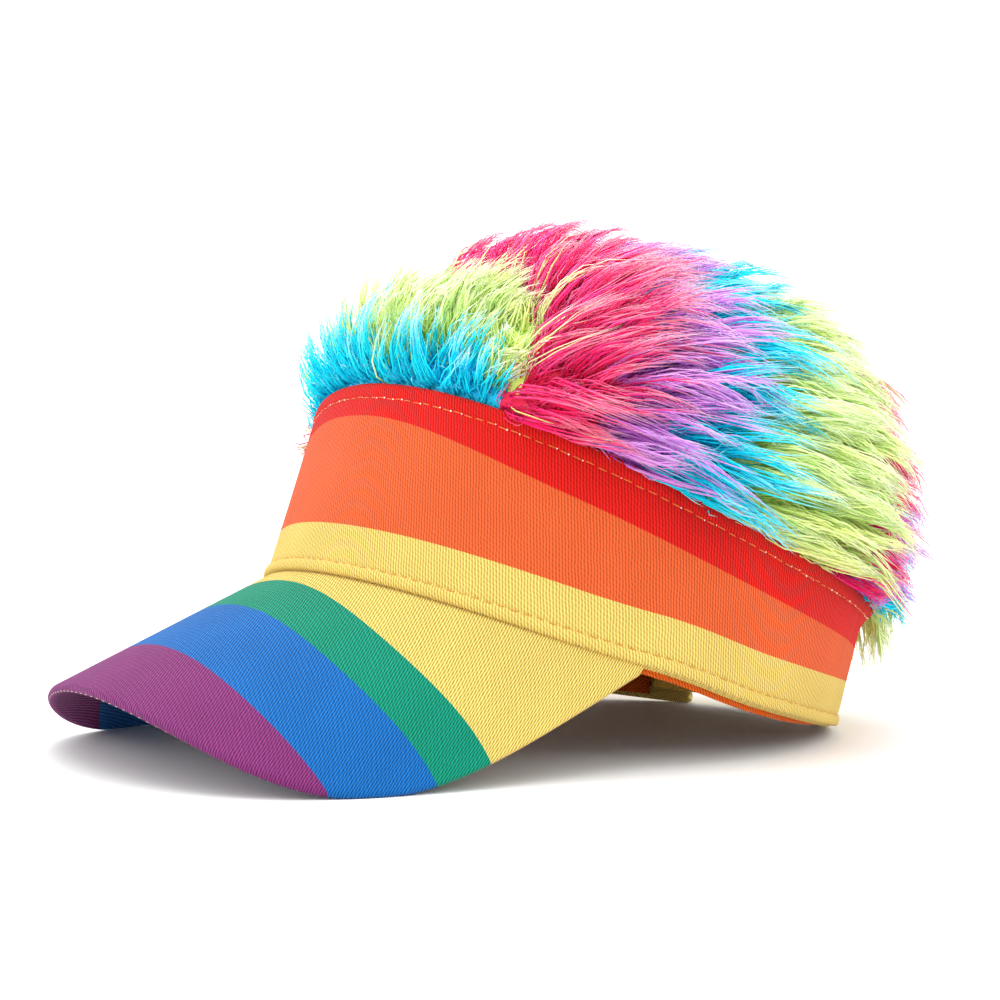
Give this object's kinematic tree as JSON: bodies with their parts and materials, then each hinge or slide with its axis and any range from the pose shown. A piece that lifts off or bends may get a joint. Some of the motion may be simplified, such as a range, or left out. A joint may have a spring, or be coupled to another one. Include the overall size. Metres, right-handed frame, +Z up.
{
  "type": "sun visor with wig",
  "caption": "Rainbow twill sun visor with a curved peak, a nape strap and an open crown filled by a dome of striped long-pile fur.",
  "frame": {"origin": "centre of the bounding box in plan, on the table that the visor rests on", "axes": "+Z up from the table, peak towards -Y, nape towards +Y, wearer's left towards +X; the visor is stored as it rests, tilted up in front"},
  "size_m": [0.2078, 0.279, 0.1587],
  "materials": {
    "twill_band": "matte twill, printed red, orange and yellow",
    "twill_sweatband": "matte twill",
    "twill_peak": "matte twill over board, printed yellow, green, blue and purple",
    "loop_tape": "napped loop tape",
    "hook_tape": "woven hook tape",
    "pile_backing": "matte knit",
    "acrylic_pile": "soft sheen, dyed in stripes of cyan, lime, pink and purple"
  },
  "bodies": {
    "root": {"band": "twill_band", "sweatband": "twill_sweatband", "peak": "twill_peak", "strap_loop": "loop_tape", "strap_hook": "hook_tape", "crown_backing": "pile_backing", "fur": "acrylic_pile"}
  },
  "joints": []
}
